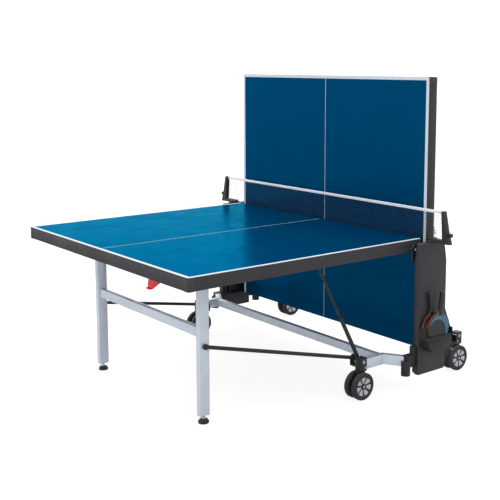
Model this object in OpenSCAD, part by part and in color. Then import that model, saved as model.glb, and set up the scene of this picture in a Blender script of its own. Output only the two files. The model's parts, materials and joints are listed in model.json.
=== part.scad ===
// Rollaway table-tennis table, two folding halves on one wheeled centre frame.
// Millimetres. X runs across the table along the net, Y along its length, Z up.
// The origin is on the floor under the middle of the net.
// The front half lies open for play on the -Y side, the rear half is folded up on the +Y side.
// Each half is drawn in a frame of its own, open for play, with +Y pointing away from the net.

/* [Playing surface] */
// Length of one half, from the net to the end line
top_len = 1370; // [1300:10:1650]
// Width of the table
top_w = 1525; // [1500:5:1850]
// Height of the playing surface
top_h = 760; // [700:5:800]
// Thickness of the playing board
board_t = 6; // [4:1:10]
// Corner radius of the board
corner_r = 12; // [6:1:16]
// Gap from the middle of the net to the inner edge of each half
edge_gap = 4; // [3:0.5:6]

/* [Top frame] */
// Height of the apron under the board
apron_h = 54; // [48:1:64]
// Sheet thickness of the apron channel
apron_t = 2; // [1.5:0.5:3]
// Width of the apron channel's flanges
apron_lip = 22; // [16:1:26]
// Setback of the apron from the board's edge
apron_inset = 1.5; // [1:0.5:3]
// Height of the cross rails under the board
rail_h = 20; // [14:1:26]
// Width of the cross rails under the board
rail_w = 44; // [36:1:56]
// Sheet thickness of the cross rails
rail_t = 1.5; // [1:0.5:2.5]

/* [Folding] */
// Distance of the playing face from the net's middle when a half is folded
face_gap = 27; // [24:1:34]
// Height of the lowest edge of a folded half
fold_edge_h = 186; // [170:2:220]
// Depth of the lift shaft below the playing face
shaft_depth = 45; // [42:1:46]
// Diameter of the lift shaft
shaft_d = 20; // [16:1:20]
// Diameter of the lift shaft's stubs in the slide blocks
stub_d = 12; // [10:1:12]
// Radial running clearance of every pivot
pivot_play = 0.05; // [0.03:0.01:0.1]
// Gap between pieces that move past each other
move_gap = 0.5; // [0.4:0.1:1]
// Diameter of the pivot pins
pin_d = 10; // [8:1:12]

/* [Legs] */
// Distance of the legs from the net
leg_y = 1116; // [1090:2:1150]
// Half the distance between the two legs, centre to centre
leg_x = 476; // [430:2:520]
// Leg tube size across the table
leg_tube_x = 30; // [25:1:36]
// Leg tube size along the table
leg_tube_y = 50; // [40:1:60]
// Wall of the leg tube
leg_wall = 1.5; // [1.2:0.1:2.5]
// Distance of the leg hinge from the leg's middle, towards the net
leg_hinge_off = 18; // [14:1:20]
// Depth of the leg hinge below the playing face
leg_hinge_depth = 55; // [50:1:60]
// Height of the lower edge of the bar between the legs
leg_bar_z = 398; // [300:5:480]
// Height of the bar between the legs
leg_bar_h = 44; // [30:1:60]
// Diameter of the foot discs
foot_d = 50; // [40:1:60]
// Thickness of the foot discs
foot_h = 20; // [14:1:26]
// Gap from the foot disc to the leg's lower end
foot_gap = 16; // [10:1:24]

/* [Folding bars] */
// Height of the lower bar's pivot beside the leg
bar_leg_z = 360; // [350:1:366]
// Distance from the net of the pivots on the chassis
base_y = 340; // [336:1:346]
// Height of the pivots on the chassis
base_z = 188; // [184:1:192]
// Diameter of the lower bars
bar_d = 18; // [14:1:18]
// Distance of the strut's upper pivot from the net
strut_y = 618; // [560:2:660]
// Depth of the strut's upper pivot below the playing face
strut_depth = 48; // [46:1:52]
// Distance of the struts from the middle of the table
strut_x = 673; // [672:1:674]
// Diameter of the strut's lower tube
strut_tube_d = 20; // [18:1:20]
// Diameter of the strut's upper rod
strut_rod_d = 14; // [12:1:14]
// Length of the strut's lower tube
strut_tube_len = 262; // [230:2:290]

/* [Chassis] */
// Distance of the side tubes from the middle of the table
side_x = 706; // [705:1:710]
// Height of the chassis side tubes
side_h = 50; // [44:1:54]
// Width of the chassis side tubes
side_w = 30; // [25:1:34]
// Height of the side tubes' lower face
side_z = 147; // [140:1:152]
// Wall of the chassis tubes
tube_wall = 2; // [1.5:0.5:3]
// Distance of the cross tubes from the net
cross_y = 220; // [205:1:235]
// Height of the cross tubes
cross_h = 40; // [34:1:44]
// Width of the cross tubes
cross_w = 30; // [25:1:34]

/* [Columns and covers] */
// Gap from the table's edge to the columns
column_gap = 35; // [30:1:42]
// Depth of the columns across the table
column_w = 38; // [34:1:44]
// Sheet thickness of the columns
column_t = 3; // [2:0.5:4]
// Width of the side covers
cover_w = 190; // [184:2:210]
// Height of the side covers' lower edge
cover_z0 = 96; // [80:1:110]
// Gap from the playing face down to the top of the side covers
cover_drop = 8; // [4:1:20]
// Wall of the side covers
cover_t = 3; // [2:0.5:4]
// Depth of the side covers across the table
cover_depth = 28; // [24:1:34]
// Width of the slope at the covers' top corner
slope_w = 18; // [8:1:30]
// Height of the slope at the covers' top corner
slope_h = 100; // [60:5:140]

/* [Casters] */
// Diameter of the wheels
wheel_d = 135; // [100:1:136]
// Width of one wheel
wheel_w = 24; // [18:1:26]
// Width over both wheels of a caster
caster_w = 74; // [66:1:78]
// Distance of the caster swivels from the middle of the table
caster_x = 700; // [692:1:706]
// Distance of the caster swivels from the net
caster_y = 350; // [346:1:362]
// Distance of the wheel axle behind the swivel
trail = 10; // [6:1:24]
// Diameter of the wheel hubs
hub_d = 100; // [80:1:104]

/* [Net] */
// Height of the net above the playing surface
net_h = 152.5; // [120:0.5:160]
// Overhang of the net past the table's side
net_over = 136; // [120:1:152]
// Height of the white tape along the net's top
tape_h = 15; // [12:1:18]
// Thickness of the netting
net_t = 1.5; // [1:0.1:2]
// Width of the posts along the table
post_w = 24; // [18:1:30]

/* [Bats] */
// Diameter of the bats' blades
blade_d = 150; // [140:1:156]
// Thickness of the bats
bat_t = 11; // [9:1:12]
// Length of the bats' handles
handle_len = 100; // [85:1:110]

/* [Hidden] */
$fn = 48;

// colours
DARK = "#47474b";
BLACK = "#1b1b1d";
SILVER = "#b9c1ca";
BLUE = "#0a6db0";
WHITE = "#f2f4f5";
RED = "#d8232c";

// --- the fold, worked out in the plane [distance from the net, height] ---
edge_x = top_w / 2;
under_z = top_h - board_t;
shaft_y = face_gap + shaft_depth;
shaft = [shaft_y, top_h - shaft_depth];
shaft_folded = [shaft_y, fold_edge_h + shaft_y - edge_gap];
leg_pin = [leg_y - leg_hinge_off, top_h - leg_hinge_depth];
bar_pin = [leg_y, bar_leg_z];
base_pin = [base_y, base_z];
strut_pin = [strut_y, top_h - strut_depth];

// where a point of the top lies once the half is folded
function folded(p) = [shaft_folded.x - (p.y - shaft.y), shaft_folded.y + (p.x - shaft.x)];
function dist(a, b) = norm(b - a);
function heading(a, b) = atan2(b.y - a.y, b.x - a.x);

leg_reach = dist(leg_pin, bar_pin);
bar_reach = dist(base_pin, bar_pin);
leg_span = dist(folded(leg_pin), base_pin);
leg_corner = acos((leg_reach ^ 2 + leg_span ^ 2 - bar_reach ^ 2) / (2 * leg_reach * leg_span));
leg_heading = heading(folded(leg_pin), base_pin) + leg_corner;
// how far each link turns, or slides out, while the top turns through a right angle
leg_turn = leg_heading - heading(leg_pin, bar_pin) - 90;
bar_pin_folded = folded(leg_pin) + leg_reach * [cos(leg_heading), sin(leg_heading)];
bar_turn = heading(base_pin, bar_pin_folded) - heading(base_pin, bar_pin);
strut_turn = heading(base_pin, folded(strut_pin)) - heading(base_pin, strut_pin) - 90;
strut_len = dist(base_pin, strut_pin);
strut_slide = dist(base_pin, folded(strut_pin)) - strut_len;
strut_heading = heading(base_pin, strut_pin);
shaft_drop = shaft_folded.y - shaft.y;

// --- sizes that follow from the ones above ---
pin_r = pin_d / 2;
bore_r = pin_r + pivot_play;
apron_z = under_z - apron_h;
rail_z = under_z - rail_h;
inner_y = edge_gap;
outer_y = edge_gap + top_len;
rail_x = edge_x - apron_inset - apron_lip;
column_x = edge_x + column_gap;
column_back = column_x + column_w;
column_top = top_h - cover_drop - cover_t - move_gap;
cover_x = column_back + 4 + cover_t;
cover_in_x = cover_x - cover_depth;
cover_top = top_h - cover_drop;
guide_w = 30;
guide_t = 3;
block_w = guide_w - 2 * guide_t - 2 * move_gap;
block_up = 10;
block_down = 34;
foot_box_h = 82;
leg_bottom = foot_h + foot_gap;
eye_w = 20;
eye_r = 12;
ear_t = 4;
head_r = 20;
bar_eye_w = 22;
bar_eye_x = strut_x - strut_tube_d / 2 - move_gap - bar_eye_w / 2 - 1.5;
housing_x = caster_x - 15.5;
bar_leg_x = leg_x + leg_tube_x / 2 + move_gap + bar_d / 2;
wheel_z = wheel_d / 2;
fork_top = side_z - 8;
net_x = edge_x + net_over;
net_top = top_h + net_h;
arm_z = column_top + move_gap + cover_t + 2;
arm_h = 18;
bat_z = 333;
shaft_x = column_x - 8;

// --- placing ---
module front_half() rotate([0, 0, 180]) children();
module both_sides() for (side = [1, -1]) scale_x(side) children();
module scale_x(side) if (side > 0) children(); else mirror([1, 0, 0]) children();
module at_pin(p) translate([0, p.x, p.y]) children();
module turned(p, angle) at_pin(p) rotate([angle, 0, 0]) at_pin(-p) children();

// each moves its pieces from the open pose to the half's rest pose
module with_carriage(up) translate([0, 0, up ? shaft_drop : 0]) children();
module with_top(up) with_carriage(up) turned(shaft, up ? 90 : 0) children();
module with_legs(up) with_top(up) turned(leg_pin, up ? leg_turn : 0) children();
module with_rods(up) with_top(up) turned(strut_pin, up ? strut_turn : 0) children();
module with_tubes(up)
  with_rods(up)
    translate(up ? -strut_slide * [0, cos(strut_heading), sin(strut_heading)] : [0, 0, 0])
      children();
module with_bars(up) turned(base_pin, up ? bar_turn : 0) children();

// --- shared shapes ---
module rounded_square(w, l, r) {
  translate([r - w / 2, -l / 2]) square([w - 2 * r, l]);
  translate([-w / 2, r - l / 2]) square([w, l - 2 * r]);
  for (x = [-1, 1], y = [-1, 1]) translate([x * (w / 2 - r), y * (l / 2 - r)]) circle(r);
}

// a rectangular tube along X, centred, from its lower face up
module tube_x(l, w, h, t) difference() {
  translate([-l / 2, -w / 2, 0]) cube([l, w, h]);
  translate([-l / 2 - 1, t - w / 2, t]) cube([l + 2, w - 2 * t, h - 2 * t]);
}

// a cylinder along X from x0 to x1, centred on a point [y, z]
module round_x(p, x0, x1, r) at_pin(p) translate([x0, 0, 0]) rotate([0, 90, 0]) cylinder(r = r, h = x1 - x0);

// a round bar between two points
module bar_between(a, b, d) {
  v = b - a;
  translate(a) rotate([0, acos(v.z / norm(v)), atan2(v.y, v.x)]) cylinder(d = d, h = norm(v));
}

// --- chassis ---
module cross_tube() translate([0, cross_y, side_z + side_h - cross_h - tube_wall])
  tube_x(2 * (side_x - side_w / 2) - move_gap, cross_w, cross_h, tube_wall);

module chassis_cross_tubes() color(SILVER) {
  cross_tube();
  front_half() cross_tube();
}

side_end_y = caster_y - 20;
side_bend_y = 205;
side_foot = [column_x + 4, 150];

// one side tube seen from above: straight from the caster, then bent outward to the column's foot
side_start = [side_x, side_end_y];
side_bend = [side_x, side_bend_y];
side_out = (side_foot - side_bend) / norm(side_foot - side_bend);
side_normal = [-side_out.y, side_out.x];
side_mitre = (side_normal + [1, 0]) / (1 + side_normal.x);

module side_tube_solid(inset, past) {
  half = side_w / 2 - inset;
  translate([0, 0, side_z + inset]) linear_extrude(side_h - 2 * inset) polygon([
    side_start + [half, past],
    side_start + [-half, past],
    side_bend - half * side_mitre,
    side_foot - half * side_normal + past * side_out,
    side_foot + half * side_normal + past * side_out,
    side_bend + half * side_mitre
  ]);
}

module side_tube() difference() {
  side_tube_solid(0, 0);
  side_tube_solid(tube_wall, 1);
}

module chassis_side_tubes() color(SILVER) both_sides() {
  side_tube();
  mirror([0, 1, 0]) side_tube();
}

// black moulded feet that clamp the side tubes to the column: a clamp, a round boss and a shoulder
boss_r = 23;
shoulder_w = cover_in_x - column_x - 1;
module column_foot() difference() {
  union() {
    translate([column_x - 4, cover_w / 2 + 1, side_z - 4])
      cube([38, side_foot.y + 12 - cover_w / 2, side_h + 8]);
    translate([column_x + 20, side_foot.y + 8, 104]) cylinder(r = boss_r, h = side_z + 30 - 104);
    translate([column_x + 4, cover_w / 2 + 1, side_z + side_h]) cube([30, 20, 44]);
    translate([column_x, cover_w / 2 - cover_t - 0.9, side_z]) cube([shoulder_w, 8, side_h + 44]);
  }
  side_tube_solid(-move_gap / 2, move_gap / 2);
}

module column_feet() color(BLACK) both_sides() {
  column_foot();
  mirror([0, 1, 0]) column_foot();
}

// bracket on the caster housing's inner side that carries the pin of the lower bar
module pivot_bracket() {
  ear_x = bar_eye_x - bar_eye_w / 2 - 6 - ear_t;
  translate([ear_x, base_y - 16, side_z + 2]) cube([housing_x - move_gap / 5 - ear_x, 32, 8]);
  translate([ear_x, base_y - 16, side_z + 2]) cube([ear_t, 32, base_z - side_z - 2]);
  round_x(base_pin, ear_x, ear_x + ear_t, 16);
  round_x(base_pin, ear_x, bar_eye_x + bar_eye_w / 2 + move_gap / 2, pin_r);
}

module pivot_brackets() color(BLACK) both_sides() {
  pivot_bracket();
  mirror([0, 1, 0]) pivot_bracket();
}

// --- columns ---
// the room inside both covers, less a gap all round
module column_room(x0, x1) along_x(x0, x1) intersection() {
  cover_outline(cover_t + move_gap);
  mirror([1, 0]) cover_outline(cover_t + move_gap);
}

// sheet-steel column: a back plate, a box at its foot and a plate on its top
module column() intersection() {
  column_body();
  column_room(column_x, column_back);
}

module column_body() {
  plate_y = cover_w - 2 * cover_t - 2;
  translate([column_back - column_t, -plate_y / 2, cover_z0 + 4])
    cube([column_t, plate_y, column_top - cover_z0 - 4]);
  translate([column_x, -plate_y / 2, column_top - column_t]) cube([column_w, plate_y, column_t]);
  difference() {
    translate([column_x, -plate_y / 2, cover_z0 + 4]) cube([column_w, plate_y, foot_box_h]);
    translate([column_x + column_t, column_t - plate_y / 2, cover_z0 + 4 + column_t])
      cube([column_w, plate_y - 2 * column_t, foot_box_h - 2 * column_t]);
  }
}

module right_column() color(BLACK) column();
module left_column() color(BLACK) scale_x(-1) column();

// a black channel that one slide block runs in, open towards the table
module guide() intersection() {
  z0 = cover_z0 + 4 + foot_box_h + move_gap / 5;
  h = column_top - column_t - move_gap / 5 - z0;
  w = column_w - column_t - move_gap / 5;
  slot = stub_d + 2;
  translate([column_x, shaft_y - guide_w / 2, z0]) difference() {
    cube([w, guide_w, h]);
    translate([guide_t, guide_t, -1]) cube([w - 2 * guide_t, guide_w - 2 * guide_t, h + 2]);
    translate([-1, (guide_w - slot) / 2, -1]) cube([guide_t + 2, slot, h + 2]);
  }
  column_room(column_x, column_back);
}

module column_guides() color(BLACK) both_sides() {
  guide();
  mirror([0, 1, 0]) guide();
}

// outline of a side cover in the plane [y, z], its +Y top corner sloped; inset keeps the walls even
slope_len = norm([slope_w, slope_h]);
module cover_outline(inset) {
  y1 = cover_w / 2 - inset;
  z1 = cover_top - inset;
  low_z = cover_top - slope_h - inset * (slope_len - slope_h) / slope_w;
  high_y = cover_w / 2 - slope_w - inset * (slope_len - slope_w) / slope_h;
  polygon([[-y1, cover_z0 + inset], [y1, cover_z0 + inset], [y1, low_z], [high_y, z1], [-y1, z1]]);
}

// extrudes an outline drawn in [y, z] along X
module along_x(x0, x1) translate([x0, 0, 0]) rotate([90, 0, 90]) linear_extrude(x1 - x0) children();

module side_cover() difference() {
  along_x(cover_in_x, cover_x) cover_outline(0);
  along_x(cover_in_x - 1, cover_x - cover_t) cover_outline(cover_t);
}

module right_side_cover() color(DARK) side_cover();
module left_side_cover() color(DARK) rotate([0, 0, 180]) side_cover();

// --- bats and their holder ---
holder_t = 3;
holder_deep = 64;
holder_low = 204;
holder_top = 350;
rim_r = blade_d / 2 + 14;
pocket_r = blade_d / 2 + 1;
lip_t = 5;
right_bat_at = [cover_x + 45, -4, -8];
left_bat_at = [cover_x + 17, -14, 14];
hook_y = 90;
hook_z = 226;

// a round-bottomed tray: half a disc with straight sides above it
module tray(x0, x1, r, bottom) translate([x0, -9, bottom + r]) rotate([90, 0, 90]) linear_extrude(x1 - x0) {
  circle(r, $fn = 96);
  translate([-r, 0]) square([2 * r, bat_z - 8 - bottom - r]);
}

// holder on the right cover: a back plate, a tray round the blades with a low front lip, a ball hook
module bat_holder() color(BLACK) {
  x0 = cover_x + move_gap / 5;
  x1 = x0 + holder_deep;
  translate([x0, 2 - cover_w / 2, holder_low + 10])
    cube([holder_t, cover_w - 4, holder_top - holder_low - 10]);
  difference() {
    tray(x0, x1, rim_r, holder_low);
    for (at = [right_bat_at, left_bat_at])
      round_x([at.y, bat_z], at.x - bat_t / 2 - 1, at.x + bat_t / 2 + 1, pocket_r);
    translate([x1 - lip_t, -rim_r - 10, bat_z - blade_d / 2 + 12]) cube([lip_t + 1, 2 * rim_r, rim_r]);
    translate([right_bat_at.x - bat_t / 2 - 1, -rim_r - 10, bat_z - 40])
      cube([holder_deep, 2 * rim_r, rim_r]);
  }
  translate([x0, hook_y - 12, hook_z]) cube([holder_deep - 12, 54, 12]);
  translate([x0, hook_y + 34, hook_z]) cube([holder_deep - 12, 8, 44]);
}

// a bat standing on its blade, its handle up, tilted about X
module bat(at) translate([at.x, at.y, bat_z]) rotate([at.z, 0, 0]) {
  translate([-bat_t / 2, 0, 0]) rotate([0, 90, 0]) cylinder(d = blade_d, h = bat_t);
  translate([-bat_t / 2, -16, 0]) cube([bat_t, 32, blade_d / 2 + 12]);
  translate([-11, -14, blade_d / 2 + 4]) cube([22, 28, handle_len]);
}

module right_bat() color(RED) bat(right_bat_at);
module left_bat() color(BLACK) bat(left_bat_at);

// --- net ---
post_foot_x = net_x + 50;
post_inner = [net_x + 4, arm_z + arm_h];
module net_post() {
  translate([0, post_w / 2, 0]) rotate([90, 0, 0]) linear_extrude(post_w) {
    polygon([[net_x - 6, net_top], [net_x + 9, net_top], [net_x + 30, arm_z + 62],
             [post_foot_x, arm_z], [post_inner.x - 20, arm_z], post_inner]);
  }
  translate([column_x + 4, -post_w / 2, arm_z]) cube([post_inner.x - column_x - 4, post_w, arm_h]);
  translate([cover_in_x + 2, -34, cover_top + move_gap / 5])
    cube([cover_depth - 4, 68, arm_z + 6 - cover_top]);
}

module right_net_post() color(BLACK) difference() {
  net_post();
  knob_hole();
}
module left_net_post() color(BLACK) scale_x(-1) difference() {
  net_post();
  knob_hole();
}

knob_z = top_h + 40;

module knob_hole() round_x([0, knob_z], net_x - 10, net_x + 60, 4 + pivot_play);

// net tension knob: a threaded stem through the post and a round grip outside it
module net_knob() {
  round_x([0, knob_z], net_x + 6, net_x + 56, 4);
  round_x([0, knob_z], net_x + 44, net_x + 56, 10);
}

module right_net_knob() color(BLACK) net_knob();
module left_net_knob() color(BLACK) scale_x(-1) net_knob();

// the netting reaches down to the table, and over the posts' arms only to their top
module net_mesh() color(DARK) {
  low = top_h + 2;
  side_low = arm_z + arm_h + 2;
  high = net_top - tape_h - 0.2;
  translate([-net_x + 8, -net_t / 2, side_low]) cube([2 * net_x - 16, net_t, high - side_low]);
  translate([-edge_x, -net_t / 2, low]) cube([2 * edge_x, net_t, side_low + 1 - low]);
}

module net_tape() color(WHITE)
  translate([-net_x + 7, -net_t, net_top - tape_h]) cube([2 * net_x - 14, 2 * net_t, tape_h]);

// --- one half's top ---
module board() color(BLUE) translate([0, (inner_y + outer_y) / 2, under_z])
  linear_extrude(board_t) rounded_square(top_w, top_len, corner_r);

// apron: a channel all round, open inwards, under the board's edge
module apron() {
  w = top_w - 2 * apron_inset;
  l = top_len - 2 * apron_inset;
  color(DARK) translate([0, (inner_y + outer_y) / 2, apron_z]) difference() {
    linear_extrude(apron_h) rounded_square(w, l, corner_r - apron_inset);
    translate([0, 0, -1]) linear_extrude(apron_h + 2)
      square([w - 2 * apron_lip, l - 2 * apron_lip], center = true);
    translate([0, 0, apron_t]) linear_extrude(apron_h - 2 * apron_t)
      rounded_square(w - 2 * apron_t, l - 2 * apron_t, corner_r - apron_inset - apron_t);
    for (side = [-1, 1]) translate([0, -(inner_y + outer_y) / 2, -apron_z])
      round_x(shaft, side > 0 ? rail_x : -edge_x, side > 0 ? edge_x : -rail_x, shaft_d / 2 + 2);
  }
}

// thin moulded caps over the two outer corners
cap_t = 1;
cap_len = 34;
cap_lip = 6;
apron_w = top_w - 2 * apron_inset;
apron_l = top_len - 2 * apron_inset;
apron_r = corner_r - apron_inset;
module corner_caps() color(DARK) both_sides() intersection() {
  translate([0, (inner_y + outer_y) / 2, apron_z - cap_t]) difference() {
    linear_extrude(apron_h + cap_t - 0.3)
      rounded_square(apron_w + 2 * cap_t, apron_l + 2 * cap_t, apron_r + cap_t);
    translate([0, 0, cap_t]) linear_extrude(apron_h) rounded_square(apron_w, apron_l, apron_r);
    translate([0, 0, -1]) linear_extrude(apron_h)
      square([apron_w - 2 * cap_t - 2 * cap_lip, apron_l - 2 * cap_t - 2 * cap_lip], center = true);
  }
  translate([edge_x - cap_len, outer_y - cap_len, apron_z - 5])
    cube([cap_len + 5, cap_len + 5, apron_h + 10]);
}

rail_ys = [330, strut_y, 860, leg_pin.x];
bearing_x = rail_x - 8;

// cross rails under the board, the bearing plates of the lift shaft and the lever's mount
module underframe() color(BLACK) {
  for (y = rail_ys) translate([0, y, rail_z]) tube_x(2 * rail_x - move_gap, rail_w, rail_h, rail_t);
  for (side = [-1, 1]) difference() {
    union() {
      translate([side * bearing_x - ear_t / 2, shaft_y - 24, shaft.y]) cube([ear_t, 48, under_z - shaft.y]);
      round_x(shaft, side * bearing_x - ear_t / 2, side * bearing_x + ear_t / 2, 18);
    }
    round_x(shaft, -edge_x, edge_x, shaft_d / 2 + pivot_play);
  }
  lever_mount();
}

// ears and pins that carry the legs and the struts, on the undersides of two rails
module ear(p, x, r) {
  translate([x, p.x - r, p.y]) cube([ear_t, 2 * r, rail_z - p.y]);
  round_x(p, x, x + ear_t, r);
}

module hinge_pair(p, x, w, r) {
  ear(p, x - w / 2 - move_gap - ear_t, r);
  ear(p, x + w / 2 + move_gap, r);
  round_x(p, x - w / 2 - move_gap - ear_t - 3, x + w / 2 + move_gap + ear_t + 3, pin_r);
}

module hinge_brackets() color(BLACK) both_sides() {
  hinge_pair(leg_pin, leg_x, leg_tube_x, 12);
  hinge_pair(strut_pin, strut_x, eye_w, 11);
}

// release lever under the end rail
lever_pin = [outer_y - 42, apron_z + 6];
lever_x = -433;
lever_w = 96;
module lever_mount() translate([lever_x, 0, 0]) {
  for (x = [-lever_w / 2 - 5, lever_w / 2 + 1]) {
    translate([x, lever_pin.x - 12, lever_pin.y]) cube([ear_t, 24, under_z - lever_pin.y]);
    round_x(lever_pin, x, x + ear_t, 12);
  }
  round_x(lever_pin, -lever_w / 2 - 5, lever_w / 2 + 5, 3);
}

module release_lever() color(RED) translate([lever_x, 0, 0]) difference() {
  union() {
    round_x(lever_pin, -lever_w / 2 + 0.6, lever_w / 2 - 0.6, 8);
    translate([0, lever_pin.x + 4, lever_pin.y]) rotate([90, 0, 0]) linear_extrude(8)
      polygon([[-47, 0], [-47, -18], [-40, -27], [22, -66], [40, -68],
               [52, -60], [54, -48], [42, -8], [40, 0]]);
    translate([22, lever_pin.x - 4, lever_pin.y - 66]) cube([28, 18, 7]);
  }
  round_x(lever_pin, -lever_w, lever_w, 3 + pivot_play);
}

// --- one half's lift shaft and slides ---
shaft_end = column_back - column_t - guide_t - 2;
module lift_shaft() color(SILVER) {
  round_x(shaft, -shaft_x, shaft_x, shaft_d / 2);
  round_x(shaft, -shaft_end, shaft_end, stub_d / 2);
}

// blocks in the guides, and the black end plates that the shaft carries beside the table
plate_t = 10;
plate_r = 25;
plate_hang = 56;
module slide_block() difference() {
  intersection() {
    translate([column_x + guide_t + move_gap, shaft_y - block_w / 2, shaft.y - block_down])
      cube([column_w - column_t - 2 * guide_t - 2 * move_gap, block_w, block_up + block_down]);
    column_room(column_x, column_back);
  }
  round_x(shaft, 0, 2 * edge_x, stub_d / 2 + pivot_play);
}

module end_plate() difference() {
  union() {
    round_x(shaft, shaft_x - plate_t - 1, shaft_x - 1, plate_r);
    translate([shaft_x - plate_t - 1, shaft_y - 20, shaft.y - plate_hang]) cube([plate_t, 40, plate_hang]);
  }
  round_x(shaft, 0, 2 * edge_x, shaft_d / 2 + pivot_play);
}

module slide_blocks() color(BLACK) both_sides() {
  slide_block();
  end_plate();
}

// --- struts and lower bars, along Y and turned into place ---
module along_strut() at_pin(strut_pin) rotate([strut_heading - 90, 0, 0]) children();

module strut_rod() difference() {
  union() {
    round_x(strut_pin, strut_x - eye_w / 2, strut_x + eye_w / 2, eye_r);
    along_strut() translate([strut_x, 0, -strut_len + 128])
      cylinder(d = strut_rod_d, h = strut_len - 128 - 4);
  }
  round_x(strut_pin, strut_x - eye_w, strut_x + eye_w, bore_r);
}

module strut_tube() {
  along_strut() translate([strut_x, 0, -strut_len]) difference() {
    cylinder(d = strut_tube_d, h = strut_tube_len);
    translate([0, 0, 30]) cylinder(r = strut_rod_d / 2 + pivot_play, h = strut_tube_len);
  }
  round_x(base_pin, strut_x - strut_tube_d / 2 + 1, strut_x + strut_tube_d / 2 - 1, 13);
}

module lower_bar() difference() {
  union() {
    round_x(base_pin, bar_eye_x - bar_eye_w / 2, bar_eye_x + bar_eye_w / 2, 13);
    round_x(bar_pin, bar_leg_x - bar_d / 2 + 0.2, bar_leg_x + 4, 13);
    round_x(bar_pin, bar_leg_x, bar_leg_x + 10, 8);
    bar_between([bar_leg_x, bar_pin.x, bar_pin.y], [bar_eye_x, base_pin.x, base_pin.y], bar_d);
  }
  round_x(base_pin, bar_eye_x - 20, bar_eye_x + 20, bore_r);
}

module strut_rods() color(BLACK) both_sides() strut_rod();
module strut_tubes() color(BLACK) both_sides() strut_tube();
module lower_bars() color(BLACK) both_sides() lower_bar();

// --- legs ---
module leg_tube() difference() {
  union() {
    translate([leg_x - leg_tube_x / 2, leg_y - leg_tube_y / 2, leg_bottom])
      cube([leg_tube_x, leg_tube_y, leg_pin.y - 12 - leg_bottom]);
    round_x(leg_pin, leg_x - leg_tube_x / 2, leg_x + leg_tube_x / 2, head_r - 3);
    translate([leg_x - leg_tube_x / 2, leg_pin.x, leg_pin.y - 14])
      cube([leg_tube_x, leg_y + leg_tube_y / 2 - leg_pin.x, 22]);
  }
  translate([leg_x - leg_tube_x / 2 + leg_wall, leg_y - leg_tube_y / 2 + leg_wall, leg_bottom + 30])
    cube([leg_tube_x - 2 * leg_wall, leg_tube_y - 2 * leg_wall, leg_pin.y - leg_bottom - 70]);
  round_x(leg_pin, leg_x - leg_tube_x, leg_x + leg_tube_x, bore_r);
  translate([leg_x, leg_y, leg_bottom - 1]) cylinder(r = bore_r, h = 27);
}

module leg_frame() color(SILVER) {
  both_sides() leg_tube();
  translate([0, leg_y, leg_bar_z]) tube_x(2 * leg_x - leg_tube_x + 0.02, 26, leg_bar_h, leg_wall);
}

// a screw foot: a disc with a waist and a stem up into the leg
module foot(side) color(BLACK) translate([side * leg_x, leg_y, 0]) {
  cylinder(d = foot_d, h = foot_h * 0.6);
  translate([0, 0, foot_h * 0.6]) cylinder(d = foot_d - 12, h = foot_h * 0.4);
  cylinder(r = pin_r, h = leg_bottom + 20);
}

// --- casters ---
// the black housing on a side tube's end
module caster_housing() difference() {
  union() {
    translate([housing_x, side_end_y + move_gap / 5, fork_top + move_gap])
      cube([38, 42, side_z + side_h + 8 - fork_top]);
    translate([caster_x + 3.5, side_end_y + 42, fork_top + move_gap])
      cylinder(r = 12, h = side_z + side_h + 4 - fork_top);
  }
  translate([caster_x, caster_y, fork_top]) cylinder(r = 6 + pivot_play, h = 30);
}

module caster_housings() color(BLACK) both_sides() {
  caster_housing();
  mirror([0, 1, 0]) caster_housing();
}

fork_body_w = caster_w - 2 * wheel_w - 4;
axle_r = 5;

// places a caster: sx and sy give the corner, and every caster trails towards +Y
module corner(sx, sy) translate([sx * caster_x, sy * caster_y, 0]) children();

// swivel stem, body between the wheels and the axle
stem_r = 6;
stem_top = fork_top + 26;

module fork() color(BLACK) {
  translate([0, 0, wheel_z]) cylinder(r = stem_r, h = stem_top - wheel_z);
  translate([0, 0, fork_top - 4]) cylinder(r = 14, h = 4);
  difference() {
    translate([-fork_body_w / 2, -trail - 14, wheel_z - 14])
      cube([fork_body_w, trail + 34, fork_top - 4 - wheel_z + 14]);
    translate([-fork_body_w, -trail - 40, wheel_z - 40]) cube([2 * fork_body_w, 30, 30]);
  }
  round_x([-trail, wheel_z], -fork_body_w / 2, fork_body_w / 2, 14);
  round_x([-trail, wheel_z], -caster_w / 2 + 3, caster_w / 2 - 3, axle_r);
}

module wheel_pair() for (x = [-caster_w / 2, caster_w / 2 - wheel_w])
  translate([x, -trail, wheel_z]) rotate([0, 90, 0]) children();

module tyres() color(BLACK) wheel_pair() difference() {
  union() {
    translate([0, 0, 3]) cylinder(d = wheel_d, h = wheel_w - 6, $fn = 96);
    cylinder(d = wheel_d - 8, h = wheel_w, $fn = 96);
  }
  translate([0, 0, -1]) cylinder(d = hub_d, h = wheel_w + 2);
}

// hub: a rim, a web and a boss round the axle
hub_rim = 4;
hub_boss_r = 15;
module hubs() color(SILVER) wheel_pair() difference() {
  cylinder(d = hub_d - 0.1, h = wheel_w);
  for (z = [-1, wheel_w / 2 + 3]) translate([0, 0, z]) difference() {
    cylinder(d = hub_d - 2 * hub_rim, h = wheel_w / 2 - 2);
    cylinder(r = hub_boss_r, h = wheel_w);
  }
  translate([0, 0, -1]) cylinder(r = axle_r + pivot_play, h = wheel_w + 2);
}

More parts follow.
